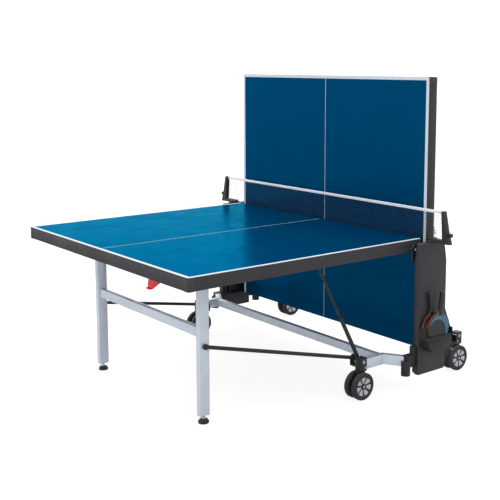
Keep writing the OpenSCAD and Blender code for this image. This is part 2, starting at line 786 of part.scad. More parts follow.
chassis_cross_tubes();
chassis_side_tubes();
right_column();
left_column();
column_guides();
column_feet();
pivot_brackets();
caster_housings();
right_side_cover();
left_side_cover();
bat_holder();
right_bat();
left_bat();
net_mesh();
net_tape();
right_net_post();
left_net_post();
right_net_knob();
left_net_knob();
front_half() with_top(false) board();  // front_board
front_half() with_top(false) apron();  // front_apron
front_half() with_top(false) corner_caps();  // front_corner_caps
front_half() with_top(false) underframe();  // front_underframe
front_half() with_top(false) hinge_brackets();  // front_hinge_brackets
front_half() with_top(false) release_lever();  // front_release_lever
front_half() with_carriage(false) lift_shaft();  // front_lift_shaft
front_half() with_carriage(false) slide_blocks();  // front_slide_blocks
front_half() with_rods(false) strut_rods();  // front_strut_rods
front_half() with_tubes(false) strut_tubes();  // front_strut_tubes
front_half() with_bars(false) lower_bars();  // front_lower_bars
front_half() with_legs(false) leg_frame();  // front_leg_frame
front_half() with_legs(false) foot(-1);  // front_right_foot
front_half() with_legs(false) foot(1);  // front_left_foot
with_top(true) board();  // rear_board
with_top(true) apron();  // rear_apron
with_top(true) corner_caps();  // rear_corner_caps
with_top(true) underframe();  // rear_underframe
with_top(true) hinge_brackets();  // rear_hinge_brackets
with_top(true) release_lever();  // rear_release_lever
with_carriage(true) lift_shaft();  // rear_lift_shaft
with_carriage(true) slide_blocks();  // rear_slide_blocks
with_rods(true) strut_rods();  // rear_strut_rods
with_tubes(true) strut_tubes();  // rear_strut_tubes
with_bars(true) lower_bars();  // rear_lower_bars
with_legs(true) leg_frame();  // rear_leg_frame
with_legs(true) foot(1);  // rear_right_foot
with_legs(true) foot(-1);  // rear_left_foot
corner(1, -1) fork();  // front_right_caster_fork
corner(1, -1) tyres();  // front_right_tyres
corner(1, -1) hubs();  // front_right_hubs
corner(-1, -1) fork();  // front_left_caster_fork
corner(-1, -1) tyres();  // front_left_tyres
corner(-1, -1) hubs();  // front_left_hubs
corner(1, 1) fork();  // rear_right_caster_fork
corner(1, 1) tyres();  // rear_right_tyres
corner(1, 1) hubs();  // rear_right_hubs
corner(-1, 1) fork();  // rear_left_caster_fork
corner(-1, 1) tyres();  // rear_left_tyres
corner(-1, 1) hubs();  // rear_left_hubs
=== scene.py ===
# %% [markdown]
# # A rollaway table-tennis table
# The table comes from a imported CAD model: every tube, board and wheel already stands in its true
# place, in metres, and rides on its own moving body. This lesson gives that frame its looks. The
# net stands over the origin, X runs along the net, the open half lies towards -Y and Z is up.

# %% Load the frame
import json
import math

import bmesh
import bpy
import numpy as np
from mathutils import Matrix, Vector

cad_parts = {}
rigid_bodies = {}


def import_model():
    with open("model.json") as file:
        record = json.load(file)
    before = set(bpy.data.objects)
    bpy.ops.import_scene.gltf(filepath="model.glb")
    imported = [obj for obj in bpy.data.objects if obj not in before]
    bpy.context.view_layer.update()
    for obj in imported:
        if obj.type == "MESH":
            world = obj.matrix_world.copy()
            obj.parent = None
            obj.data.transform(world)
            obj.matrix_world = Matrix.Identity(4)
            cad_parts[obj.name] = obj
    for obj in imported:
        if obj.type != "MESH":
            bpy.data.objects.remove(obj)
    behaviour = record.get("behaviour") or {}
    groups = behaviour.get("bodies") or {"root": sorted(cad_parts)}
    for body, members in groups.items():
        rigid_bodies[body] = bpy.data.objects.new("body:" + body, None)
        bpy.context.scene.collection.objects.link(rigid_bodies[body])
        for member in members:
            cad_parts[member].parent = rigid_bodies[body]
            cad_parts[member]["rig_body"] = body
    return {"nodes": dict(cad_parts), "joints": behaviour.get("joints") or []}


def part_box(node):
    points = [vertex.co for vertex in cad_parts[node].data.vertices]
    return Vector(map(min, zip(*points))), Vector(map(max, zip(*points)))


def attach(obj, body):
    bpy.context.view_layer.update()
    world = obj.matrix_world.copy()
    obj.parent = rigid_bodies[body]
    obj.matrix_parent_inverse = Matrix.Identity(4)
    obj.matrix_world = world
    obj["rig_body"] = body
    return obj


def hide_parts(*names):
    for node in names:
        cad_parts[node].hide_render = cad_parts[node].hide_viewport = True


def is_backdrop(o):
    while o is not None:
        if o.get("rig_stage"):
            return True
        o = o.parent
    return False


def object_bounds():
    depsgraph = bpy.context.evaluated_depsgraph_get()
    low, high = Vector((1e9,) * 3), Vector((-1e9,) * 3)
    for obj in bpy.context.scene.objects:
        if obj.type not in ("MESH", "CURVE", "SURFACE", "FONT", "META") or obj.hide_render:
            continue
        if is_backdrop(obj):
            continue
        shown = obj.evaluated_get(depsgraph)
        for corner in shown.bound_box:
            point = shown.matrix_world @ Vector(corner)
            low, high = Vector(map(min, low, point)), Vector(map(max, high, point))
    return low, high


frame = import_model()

NODES = frame["nodes"]
JOINTS = {joint["name"]: joint for joint in frame["joints"]}
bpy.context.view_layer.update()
HALVES = ("front", "rear")
SIDES = ("right", "left")

# %% [markdown]
# ## Camera
# A long lens from beside the net's right end shows both halves: the open one almost edge-on, the
# folded one standing behind it. A camera is a matrix: its X axis points right, its Y axis up and
# its Z axis back towards the photographer, so those three directions are built and put in place.

# %% Place the camera
AZIMUTH = math.radians(50.11)
ELEVATION = math.radians(7.73)
ROLL = 0.00402
CAMERA_PLACE = Vector((3.786, -3.318, 1.603))
FOCAL_PIXELS = 910.9
FRAME_PIXELS = 500


def camera_axes(azimuth, elevation, roll):
    """The camera's right, up and back directions."""
    back = Vector((math.sin(azimuth) * math.cos(elevation),
                   -math.cos(azimuth) * math.cos(elevation), math.sin(elevation)))
    right = (-back).cross(Vector((0, 0, 1))).normalized()
    up = right.cross(-back)
    return (right * math.cos(roll) + up * math.sin(roll),
            up * math.cos(roll) - right * math.sin(roll), back)


camera = bpy.data.objects.new("camera", bpy.data.cameras.new("camera"))
bpy.context.scene.collection.objects.link(camera)
camera.matrix_world = (Matrix.Translation(CAMERA_PLACE)
                       @ Matrix(camera_axes(AZIMUTH, ELEVATION, ROLL)).transposed().to_4x4())
camera.data.sensor_width = 36.0
camera.data.lens = FOCAL_PIXELS / FRAME_PIXELS * camera.data.sensor_width
camera.data.shift_x = -0.10
camera.data.shift_y = -0.12
camera.data.clip_end = 60
bpy.context.scene.camera = camera
print("lens", round(camera.data.lens, 1), "mm at", tuple(round(v, 2) for v in CAMERA_PLACE))

# %% [markdown]
# ## Studio
# Catalogue pictures of large white-room objects are lit from everywhere: a pale floor that glows a
# little, a white room, and one wide soft lamp overhead. The floor isn't part of the object, so it
# is marked as stage. The standard view transform keeps the paint colours as they are mixed.

# %% Build the floor, the room and the lamp
BRIGHT_SIDE = (-0.76, 0.64, 0.10)
WALL_STRENGTH = 1.8
FLOOR_HALF = 30.0
FLOOR_DROP = 0.0004
FLOOR_LOOK = 0.84
FLOOR_LIGHT = 0.35

floor_mesh = bpy.data.meshes.new("floor")
floor_corners = [(x * FLOOR_HALF, y * FLOOR_HALF, -FLOOR_DROP)
                 for x, y in ((-1, -1), (1, -1), (1, 1), (-1, 1))]
floor_mesh.from_pydata(floor_corners, [], [(0, 1, 2, 3)])
floor = bpy.data.objects.new("floor", floor_mesh)
bpy.context.scene.collection.objects.link(floor)
floor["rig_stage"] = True
floor_paint = bpy.data.materials.new("studio_floor")
floor_paint.use_nodes = True
floor_shader = floor_paint.node_tree.nodes["Principled BSDF"]
floor_shader.inputs["Base Color"].default_value = (0.30, 0.30, 0.30, 1)
floor_shader.inputs["Roughness"].default_value = 0.9
floor_shader.inputs["Specular IOR Level"].default_value = 0.0
floor_shader.inputs["Emission Color"].default_value = (1, 1, 1, 1)
seen = floor_paint.node_tree.nodes.new("ShaderNodeLightPath")
glowing = floor_paint.node_tree.nodes.new("ShaderNodeMapRange")
glowing.inputs["To Min"].default_value = FLOOR_LIGHT
glowing.inputs["To Max"].default_value = FLOOR_LOOK
floor_paint.node_tree.links.new(seen.outputs["Is Camera Ray"], glowing.inputs["Value"])
floor_paint.node_tree.links.new(glowing.outputs["Result"], floor_shader.inputs["Emission Strength"])
floor_mesh.materials.append(floor_paint)

room = bpy.data.worlds.new("room")
room.use_nodes = True
backdrop = room.node_tree.nodes["Background"]
backdrop.inputs["Color"].default_value = (1, 1, 1, 1)
direction = room.node_tree.nodes.new("ShaderNodeTexCoord")
towards = room.node_tree.nodes.new("ShaderNodeVectorMath")
towards.operation = "DOT_PRODUCT"
towards.inputs[1].default_value = BRIGHT_SIDE
room.node_tree.links.new(direction.outputs["Generated"], towards.inputs[0])
glow = room.node_tree.nodes.new("ShaderNodeMapRange")
for socket, value in (("From Min", 0.2), ("From Max", 0.7), ("To Min", 1.0), ("To Max", WALL_STRENGTH)):
    glow.inputs[socket].default_value = value
room.node_tree.links.new(towards.outputs["Value"], glow.inputs["Value"])
room.node_tree.links.new(glow.outputs["Result"], backdrop.inputs["Strength"])
bpy.context.scene.world = room

lamp = bpy.data.objects.new("softbox", bpy.data.lights.new("softbox", "SUN"))
bpy.context.scene.collection.objects.link(lamp)
lamp.data.energy = 0.9
lamp.data.angle = math.radians(70)
lamp.rotation_euler = (math.radians(24), math.radians(-14), 0)
bpy.context.scene.view_settings.view_transform = "Standard"
print("studio lamp energy", lamp.data.energy)

# %% [markdown]
# ## Shared finishes
# Powder coat, moulded plastic and rubber all have a grain far finer than the parts they cover. One
# node group gives that grain as a mask and as a height for a Bump node; each material sets its own
# size and depth. It reads Object coordinates, which are metres here, so a grain of 0.0006 is real.

# %% The grain group
def group_socket(group, name, way, kind, value=None):
    socket = group.interface.new_socket(name=name, in_out=way, socket_type=kind)
    if value is not None:
        socket.default_value = value
    return socket


def link(tree, start, end):
    tree.links.new(start, end)


def new_node(tree, kind, **settings):
    made = tree.nodes.new(kind)
    for name, value in settings.items():
        setattr(made, name, value)
    return made


def grain_group():
    """Fine grain and slow cloudiness on Object coordinates."""
    group = bpy.data.node_groups.new("Grain", "ShaderNodeTree")
    group_socket(group, "Grain size", "INPUT", "NodeSocketFloat", 0.0006)
    group_socket(group, "Cloud size", "INPUT", "NodeSocketFloat", 0.12)
    group_socket(group, "Grain", "OUTPUT", "NodeSocketFloat")
    group_socket(group, "Cloud", "OUTPUT", "NodeSocketFloat")
    start, end = group.nodes.new("NodeGroupInput"), group.nodes.new("NodeGroupOutput")
    place = group.nodes.new("ShaderNodeTexCoord")
    for size, out, detail in (("Grain size", "Grain", 2.0), ("Cloud size", "Cloud", 5.0)):
        scale = new_node(group, "ShaderNodeMath", operation="DIVIDE")
        scale.inputs[0].default_value = 1.0
        link(group, start.outputs[size], scale.inputs[1])
        noise = group.nodes.new("ShaderNodeTexNoise")
        noise.inputs["Detail"].default_value = detail
        link(group, place.outputs["Object"], noise.inputs["Vector"])
        link(group, scale.outputs[0], noise.inputs["Scale"])
        link(group, noise.outputs["Fac"], end.inputs[out])
    return group


GRAIN = grain_group()
print("group", GRAIN.name, [item.name for item in GRAIN.interface.items_tree])

# %% [markdown]
# Dust settles where a surface faces up, in uneven patches. The second group turns the surface's
# own direction and a slow noise into a mask, so the same material is cleaner on its sides.

# %% The dust group
def dust_group():
    """A mask of settled dust: more on faces that look up, broken up by noise."""
    group = bpy.data.node_groups.new("Settled dust", "ShaderNodeTree")
    group_socket(group, "Amount", "INPUT", "NodeSocketFloat", 0.2)
    group_socket(group, "Patch size", "INPUT", "NodeSocketFloat", 0.05)
    group_socket(group, "Mask", "OUTPUT", "NodeSocketFloat")
    start, end = group.nodes.new("NodeGroupInput"), group.nodes.new("NodeGroupOutput")
    surface = group.nodes.new("ShaderNodeNewGeometry")
    parts = group.nodes.new("ShaderNodeSeparateXYZ")
    link(group, surface.outputs["Normal"], parts.inputs[0])
    upward = new_node(group, "ShaderNodeMapRange", clamp=True)
    upward.inputs["From Min"].default_value = 0.2
    link(group, parts.outputs["Z"], upward.inputs["Value"])
    place = group.nodes.new("ShaderNodeTexCoord")
    scale = new_node(group, "ShaderNodeMath", operation="DIVIDE")
    scale.inputs[0].default_value = 1.0
    link(group, start.outputs["Patch size"], scale.inputs[1])
    noise = group.nodes.new("ShaderNodeTexNoise")
    noise.inputs["Detail"].default_value = 6.0
    link(group, place.outputs["Object"], noise.inputs["Vector"])
    link(group, scale.outputs[0], noise.inputs["Scale"])
    patchy = new_node(group, "ShaderNodeMath", operation="MULTIPLY")
    link(group, noise.outputs["Fac"], patchy.inputs[0])
    link(group, upward.outputs["Result"], patchy.inputs[1])
    mask = new_node(group, "ShaderNodeMath", operation="MULTIPLY")
    link(group, patchy.outputs[0], mask.inputs[0])
    link(group, start.outputs["Amount"], mask.inputs[1])
    link(group, mask.outputs[0], end.inputs["Mask"])
    return group


DUST = dust_group()
print("group", DUST.name, [item.name for item in DUST.interface.items_tree])

# %% [markdown]
# ## A coat of paint
# Most parts share one recipe: a base colour that drifts slightly with the cloud, roughness that
# drifts the other way, grain as bump, and dust mixed over the colour. Numbers that are the same all
# over, such as Metallic, sit on the shader's own sockets.

# %% The recipe for a coat
DUST_COLOUR = (0.42, 0.41, 0.40, 1)


def from_srgb(red, green, blue):
    """A screen colour, 0 to 255, as the linear colour that a shader wants."""
    return tuple((v / 255 / 12.92) if v / 255 <= 0.04045 else ((v / 255 + 0.055) / 1.055) ** 2.4
                 for v in (red, green, blue)) + (1.0,)


def set_plain(shader, values):
    for name, value in values.items():
        shader.inputs[name.replace("_", " ").title().replace("Ior", "IOR")].default_value = value


def drifting(tree, source, low, high):
    """A value that drifts between low and high as the source goes from 0.3 to 0.7."""
    spread = new_node(tree, "ShaderNodeMapRange", clamp=True)
    for name, value in (("From Min", 0.3), ("From Max", 0.7), ("To Min", low), ("To Max", high)):
        spread.inputs[name].default_value = value
    link(tree, source, spread.inputs["Value"])
    return spread.outputs["Result"]


def coat(name, colour, roughness, grain=0.0006, bump=0.15, drift=0.06, dust=0.15, **plain):
    """A painted or moulded material. It returns the material."""
    material = bpy.data.materials.new(name)
    material.use_nodes = True
    tree = material.node_tree
    shader = tree.nodes["Principled BSDF"]
    set_plain(shader, plain)
    texture = new_node(tree, "ShaderNodeGroup", node_tree=GRAIN)
    texture.inputs["Grain size"].default_value = grain
    settled = new_node(tree, "ShaderNodeGroup", node_tree=DUST)
    settled.inputs["Amount"].default_value = dust
    tint = new_node(tree, "ShaderNodeMix", data_type="RGBA", blend_type="MULTIPLY")
    tint.inputs["Factor"].default_value = 1.0
    tint.inputs[6].default_value = colour
    shade = tree.nodes.new("ShaderNodeCombineColor")
    level = drifting(tree, texture.outputs["Cloud"], 1 - drift, 1 + drift)
    for channel in range(3):
        link(tree, level, shade.inputs[channel])
    link(tree, shade.outputs[0], tint.inputs[7])
    dusty = new_node(tree, "ShaderNodeMix", data_type="RGBA", label="dusty")
    dusty.inputs[7].default_value = DUST_COLOUR
    link(tree, settled.outputs["Mask"], dusty.inputs["Factor"])
    link(tree, tint.outputs[2], dusty.inputs[6])
    link(tree, dusty.outputs[2], shader.inputs["Base Color"])
    link(tree, drifting(tree, texture.outputs["Cloud"], roughness + 0.05, roughness - 0.05),
         shader.inputs["Roughness"])
    relief = new_node(tree, "ShaderNodeBump", label="grain")
    relief.inputs["Strength"].default_value = bump
    relief.inputs["Distance"].default_value = grain
    link(tree, texture.outputs["Grain"], relief.inputs["Height"])
    link(tree, relief.outputs["Normal"], shader.inputs["Normal"])
    return material


# %% [markdown]
# The steel tubes have a pale silver powder coat with a touch of metal in it, the aprons and side
# covers a dark warm grey, and the folding bars black. Pins and bolts are bright zinc plate.

# %% Mix the metals and plastics
FINISH = {
    "silver_steel": coat("silver_powder_coat", from_srgb(208, 218, 231), 0.42, metallic=0.25, bump=0.2),
    "zinc_steel": coat("zinc_plate", from_srgb(196, 198, 202), 0.28, grain=0.0015, drift=0.12,
                       dust=0.05, metallic=1.0),
    "anthracite_steel": coat("anthracite_powder_coat", from_srgb(58, 57, 60), 0.55, bump=0.3,
                             specular_ior_level=0.2),
    "anthracite_plastic": coat("anthracite_cover", from_srgb(62, 61, 65), 0.55, grain=0.0009, bump=0.3,
                               specular_ior_level=0.2),
    "black_steel": coat("black_powder_coat", from_srgb(27, 26, 29), 0.45, bump=0.3),
    "black_plastic": coat("black_moulding", from_srgb(21, 21, 24), 0.48, grain=0.0011, bump=0.35),
    "red_plastic": coat("red_moulding", from_srgb(226, 20, 34), 0.35, drift=0.03, dust=0.05),
    "tyre_rubber": coat("tyre_rubber", from_srgb(38, 38, 41), 0.7, grain=0.0014, bump=0.5, dust=0.3),
    "hub_plastic": coat("hub_web", from_srgb(30, 30, 33), 0.55, grain=0.001, bump=0.3),
}
PETAL_PAINT = coat("hub_silver", from_srgb(188, 190, 198), 0.36, metallic=0.35, drift=0.03)
print("finishes:", ", ".join(FINISH))

# %% [markdown]
# ## From CAD solid to finished piece
# A CAD node is a set of loose triangles with knife-sharp edges. Real pressed, cut or moulded parts
# have a small radius on every edge, and that radius is what catches the light. So a copy of the
# node has its doubled points merged and its flat faces joined, and a Bevel modifier rounds it.
# Hardened normals keep the large faces flat right up to the rounding.

# %% Round the edges of a CAD solid
FLAT_WITHIN = math.radians(1.5)
EDGE_ANGLE = math.radians(32)
MERGE_TOLERANCE = 0.001


def settled(made):
    """The object's mesh with its modifiers applied, in a fresh object at the origin."""
    mesh = bpy.data.meshes.new_from_object(made.evaluated_get(bpy.context.evaluated_depsgraph_get()))
    name = made.name
    bpy.data.objects.remove(made)
    plain = bpy.data.objects.new(name, mesh)
    bpy.context.scene.collection.objects.link(plain)
    mesh.name = name
    return plain


def slot_of(node):
    return NODES[node].data.materials[0].name.split(".")[0]


def finished(piece, body, material=None, replaces=()):
    """Gives a piece its material and its body, and hides the nodes that it stands for."""
    if material is not None:
        piece.data.materials.clear()
        piece.data.materials.append(material)
    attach(piece, body)
    if replaces:
        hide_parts(*replaces)
    return piece


def skin_area(solid):
    """The area of a mesh once its faces are cut into triangles, as the renderer cuts them."""
    corners = [[loop.vert.co for loop in triangle] for triangle in solid.calc_loop_triangles()]
    return sum((b - a).cross(c - a).length / 2 for a, b, c in corners)


def merged_copy(node):
    """The node as a closed mesh, its flat faces merged where that leaves each one a clean outline."""
    solid = bmesh.new()
    solid.from_mesh(NODES[node].data)
    bmesh.ops.remove_doubles(solid, verts=solid.verts, dist=1e-5)
    merged = solid.copy()
    bmesh.ops.dissolve_limit(merged, angle_limit=FLAT_WITHIN, verts=merged.verts, edges=merged.edges)
    clean = abs(skin_area(merged) / skin_area(solid) - 1) < MERGE_TOLERANCE
    (solid if clean else merged).free()
    return merged if clean else solid


def rounded(node, radius, segments=2, material=None):
    """A copy of a CAD node with rounded edges, which takes the node's place."""
    solid = merged_copy(node)
    mesh = bpy.data.meshes.new(node + "_piece")
    solid.to_mesh(mesh)
    solid.free()
    piece = bpy.data.objects.new(node + "_piece", mesh)
    bpy.context.scene.collection.objects.link(piece)
    mesh.polygons.foreach_set("use_smooth", [True] * len(mesh.polygons))
    bevel = piece.modifiers.new("edges", "BEVEL")
    bevel.width = radius
    bevel.segments = segments
    bevel.limit_method = "ANGLE"
    bevel.angle_limit = EDGE_ANGLE
    bevel.harden_normals = True
    bevel.miter_outer = "MITER_ARC"
    piece = settled(piece)
    slot = slot_of(node)
    return finished(piece, NODES[node]["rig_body"], material or FINISH[slot], [node])


EDGE_RADIUS = {
    "apron": 0.0008, "corner_caps": 0.0008, "underframe": 0.0015, "hinge_brackets": 0.0008,
    "release_lever": 0.003, "lift_shaft": 0.001, "slide_blocks": 0.001, "strut_rods": 0.0008,
    "strut_tubes": 0.0008, "lower_bars": 0.0012, "leg_frame": 0.003, "right_foot": 0.002,
    "left_foot": 0.002, "right_caster_fork": 0.002, "left_caster_fork": 0.002,
    "right_tyres": 0.003, "left_tyres": 0.003, "right_hubs": 0.001, "left_hubs": 0.001,
}
BASE_EDGE_RADIUS = {
    "chassis_cross_tubes": 0.0018, "chassis_side_tubes": 0.002, "right_column": 0.001, "left_column": 0.001,
    "column_guides": 0.001, "column_feet": 0.003, "pivot_brackets": 0.001, "caster_housings": 0.003,
    "right_side_cover": 0.0012, "left_side_cover": 0.0012, "bat_holder": 0.003,
    "right_net_post": 0.002, "left_net_post": 0.002, "right_net_knob": 0.001, "left_net_knob": 0.001,
}
PIECE = {}
for half in HALVES:
    for part, radius in EDGE_RADIUS.items():
        PIECE[f"{half}_{part}"] = rounded(f"{half}_{part}", radius)
for node, radius in BASE_EDGE_RADIUS.items():
    PIECE[node] = rounded(node, radius)
print("rounded pieces:", len(PIECE), "triangles:",
      sum(len(p.vertices) - 2 for piece in PIECE.values() for p in piece.data.polygons))

# %% [markdown]
# ## Playing boards
# Each half is a thin board, painted blue on its playing face, with a white line 20 mm wide along
# the side edges and the end, and a 3 mm line down the middle for doubles. One paint serves both
# halves, because it reads a UV map made here: U runs across the table from its middle, V runs from
# the net, both in metres. The board's back and edges stay dark grey.

# %% Paint for the playing face
EDGE_LINE = 0.018
CENTRE_LINE = 0.003
HALF_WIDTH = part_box("front_board")[1].x
BOARD_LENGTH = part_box("front_board")[1].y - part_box("front_board")[0].y
BLUE = (0.0, 0.062, 0.158, 1)
LINE_WHITE = (0.66, 0.70, 0.75, 1)


def step(tree, value, edge, above=True):
    """1 where the value is past the edge."""
    test = new_node(tree, "ShaderNodeMath", operation="GREATER_THAN" if above else "LESS_THAN")
    link(tree, value, test.inputs[0])
    test.inputs[1].default_value = edge
    return test.outputs[0]


def larger(tree, one, other):
    both = new_node(tree, "ShaderNodeMath", operation="MAXIMUM")
    link(tree, one, both.inputs[0])
    link(tree, other, both.inputs[1])
    return both.outputs[0]


def playing_paint():
    """Blue lacquer with painted lines, on the board's own UV map."""
    material = coat("blue_playing_lacquer", BLUE, 0.27, grain=0.0012, bump=0.01, drift=0.03, dust=0.0,
                    metallic=0.5, specular_tint=(0.0, 0.62, 0.86, 1.0), specular_ior_level=0.0)
    tree = material.node_tree
    shader = tree.nodes["Principled BSDF"]
    across = new_node(tree, "ShaderNodeUVMap", uv_map="board")
    parts = tree.nodes.new("ShaderNodeSeparateXYZ")
    link(tree, across.outputs["UV"], parts.inputs[0])
    side = new_node(tree, "ShaderNodeMath", operation="ABSOLUTE")
    link(tree, parts.outputs["X"], side.inputs[0])
    lines = larger(tree, step(tree, side.outputs[0], HALF_WIDTH - EDGE_LINE),
                   step(tree, side.outputs[0], CENTRE_LINE / 2, above=False))
    lines = larger(tree, lines, step(tree, parts.outputs["Y"], BOARD_LENGTH - EDGE_LINE))
    painted = new_node(tree, "ShaderNodeMix", data_type="RGBA", label="lines over the blue")
    painted.inputs[7].default_value = LINE_WHITE
    link(tree, lines, painted.inputs["Factor"])
    link(tree, shader.inputs["Base Color"].links[0].from_socket, painted.inputs[6])
    link(tree, painted.outputs[2], shader.inputs["Base Color"])
    matt = new_node(tree, "ShaderNodeMath", operation="MULTIPLY_ADD")
    link(tree, lines, matt.inputs[0])
    matt.inputs[1].default_value = 0.3
    link(tree, shader.inputs["Roughness"].links[0].from_socket, matt.inputs[2])
    link(tree, matt.outputs[0], shader.inputs["Roughness"])
    bare = new_node(tree, "ShaderNodeMath", operation="MULTIPLY_ADD")
    link(tree, lines, bare.inputs[0])
    bare.inputs[1].default_value = -0.5
    bare.inputs[2].default_value = 0.5
    link(tree, bare.outputs[0], shader.inputs["Metallic"])
    return material


BOARD_FACE = playing_paint()
BOARD_BACK = coat("board_back", from_srgb(52, 54, 58), 0.55, grain=0.002, bump=0.2)
print("board", round(2 * HALF_WIDTH, 3), "x", round(BOARD_LENGTH, 3))

# %% Make the two boards
BOARD_EDGE = 0.0012


def playing_board(half):
    """A board with a rounded edge, a UV map in metres, a painted playing face and two flat sides."""
    low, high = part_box(f"{half}_board")
    upright = high.z - low.z > 0.5
    board = rounded(f"{half}_board", BOARD_EDGE, material=BOARD_BACK)
    mesh = board.data
    mesh.materials.append(BOARD_FACE)
    facing = Vector((0, -1, 0)) if upright else Vector((0, 0, 1))
    uv = mesh.uv_layers.new(name="board")
    for face in mesh.polygons:
        face.use_smooth = abs(face.normal.dot(facing)) < 0.999
        if face.normal.dot(facing) > 0.5:
            face.material_index = 1
        for corner in face.loop_indices:
            at = mesh.vertices[mesh.loops[corner].vertex_index].co
            uv.data[corner].uv = (at.x, at.z - low.z if upright else high.y - at.y)
    return board


for half in HALVES:
    PIECE[f"{half}_board"] = playing_board(half)
    print(half, "board faces:", len(PIECE[f"{half}_board"].data.polygons))

# %% [markdown]
# ## Growing what repeats
# Geometry Nodes make the parts of the table that repeat: the netting, its stitches, the petals of
# the wheel hubs and the screws. Each tree is built once with named inputs. A base mesh gives it the
# places, the inputs give it the sizes, and the result is turned into a plain mesh for one body.

# %% Helpers for node trees
def tree_of(name, *inputs):
    """A geometry tree with its input and output geometry and the given float inputs."""
    tree = bpy.data.node_groups.new(name, "GeometryNodeTree")
    group_socket(tree, "Geometry", "INPUT", "NodeSocketGeometry")
    for socket, value in inputs:
        group_socket(tree, socket, "INPUT", "NodeSocketFloat", value)
    group_socket(tree, "Material", "INPUT", "NodeSocketMaterial")
    group_socket(tree, "Geometry", "OUTPUT", "NodeSocketGeometry")
    return tree, tree.nodes.new("NodeGroupInput"), tree.nodes.new("NodeGroupOutput")


def end_tree(tree, start, end, shape):
    """Makes the instances real, paints them and closes the tree."""
    real = tree.nodes.new("GeometryNodeRealizeInstances")
    paint = tree.nodes.new("GeometryNodeSetMaterial")
    link(tree, shape, real.inputs[0])
    link(tree, real.outputs[0], paint.inputs["Geometry"])
    link(tree, start.outputs["Material"], paint.inputs["Material"])
    link(tree, paint.outputs[0], end.inputs[0])


def plain_object(name, verts, edges=(), faces=()):
    mesh = bpy.data.meshes.new(name)
    mesh.from_pydata(verts, edges, faces)
    made = bpy.data.objects.new(name, mesh)
    bpy.context.scene.collection.objects.link(made)
    return made


def grown(base, tree, material, **sizes):
    """Runs a tree on a base object and returns the plain result."""
    modifier = base.modifiers.new(tree.name, "NODES")
    modifier.node_group = tree
    key = {item.name: item.identifier for item in tree.interface.items_tree if item.in_out == "INPUT"}
    modifier[key["Material"]] = material
    for name, value in sizes.items():
        modifier[key[name.replace("_", " ").capitalize()]] = value
    return settled(base)


print("helpers ready")

# %% [markdown]
# ## The netting
# The net is dark knotted cord in squares of about 12 mm. A cloth with a picture of holes would look
# flat from the side, so every cord is a thin tube along the edges of a grid and every crossing has a
# small knot. Beside the table the netting stops above the posts' arms, so the grid has a notch.

# %% Tie the net
NET_PITCH = 0.012
CORD = 0.0011
KNOT = 0.0021
NET_LOW, NET_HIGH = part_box("net_mesh")
TAPE_LOW, TAPE_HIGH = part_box("net_tape")
TABLE_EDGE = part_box("front_board")[1].x
ARM_RISE = 0.022
ARM_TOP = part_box("right_net_post")[0].z + ARM_RISE
NET_FLAT = (NET_HIGH.x - NET_LOW.x, NET_HIGH.z - NET_LOW.z)


def netting_tree():
    """Cords along the edges of a grid and a knot on each of its points."""
    tree, start, end = tree_of("Netting", ("Cord", CORD), ("Knot", KNOT))
    runs = tree.nodes.new("GeometryNodeMeshToCurve")
    link(tree, start.outputs["Geometry"], runs.inputs["Mesh"])
    section = tree.nodes.new("GeometryNodeCurvePrimitiveCircle")
    section.inputs["Resolution"].default_value = 4
    half = new_node(tree, "ShaderNodeMath", operation="MULTIPLY")
    half.inputs[1].default_value = 0.5
    link(tree, start.outputs["Cord"], half.inputs[0])
    link(tree, half.outputs[0], section.inputs["Radius"])
    cords = tree.nodes.new("GeometryNodeCurveToMesh")
    cords.inputs["Fill Caps"].default_value = True
    link(tree, runs.outputs[0], cords.inputs["Curve"])
    link(tree, section.outputs[0], cords.inputs["Profile Curve"])
    ball = tree.nodes.new("GeometryNodeMeshIcoSphere")
    ball.inputs["Subdivisions"].default_value = 1
    ball_half = new_node(tree, "ShaderNodeMath", operation="MULTIPLY")
    ball_half.inputs[1].default_value = 0.5
    link(tree, start.outputs["Knot"], ball_half.inputs[0])
    link(tree, ball_half.outputs[0], ball.inputs["Radius"])
    knots = tree.nodes.new("GeometryNodeInstanceOnPoints")
    link(tree, start.outputs["Geometry"], knots.inputs["Points"])
    link(tree, ball.outputs[0], knots.inputs["Instance"])
    both = tree.nodes.new("GeometryNodeJoinGeometry")
    link(tree, knots.outputs[0], both.inputs[0])
    link(tree, cords.outputs[0], both.inputs[0])
    end_tree(tree, start, end, both.outputs[0])
    return tree


def net_grid():
    """Points and edges of the netting, with its lower corners left out beside the table."""
    across = round(NET_FLAT[0] / NET_PITCH)
    xs = [NET_LOW.x + NET_FLAT[0] * i / across for i in range(across + 1)]
    rows = round((TAPE_LOW.z + 0.002 - NET_LOW.z) / NET_PITCH)
    zs = [NET_LOW.z + CORD + (TAPE_LOW.z + 0.002 - NET_LOW.z - CORD) * i / rows for i in range(rows + 1)]
    kept = {(i, k) for i, x in enumerate(xs) for k, z in enumerate(zs) if abs(x) < TABLE_EDGE or z > ARM_TOP}
    order = {spot: n for n, spot in enumerate(sorted(kept))}
    edges = [(order[i, k], order[spot])
             for i, k in order for spot in ((i + 1, k), (i, k + 1)) if spot in order]
    return [(xs[i], 0.0, zs[k]) for i, k in sorted(kept)], edges


NET_CORD = coat("net_cord", from_srgb(34, 34, 38), 0.65, grain=0.0004, bump=0.4)
net = grown(plain_object("netting", *net_grid()), netting_tree(), NET_CORD, cord=CORD, knot=KNOT)
PIECE["net_mesh"] = finished(net, "base", replaces=["net_mesh"])
print("netting faces:", len(net.data.polygons))

# %% [markdown]
# ## The tape along the net's top
# A white cotton tape is folded over the top cord and sewn through along its lower edge. It is
# lofted here from a rounded section that bulges round the cord, with a slow ripple as sewn tape
# has, and a woven grain in the paint. The stitches are short threads grown on both of its faces.

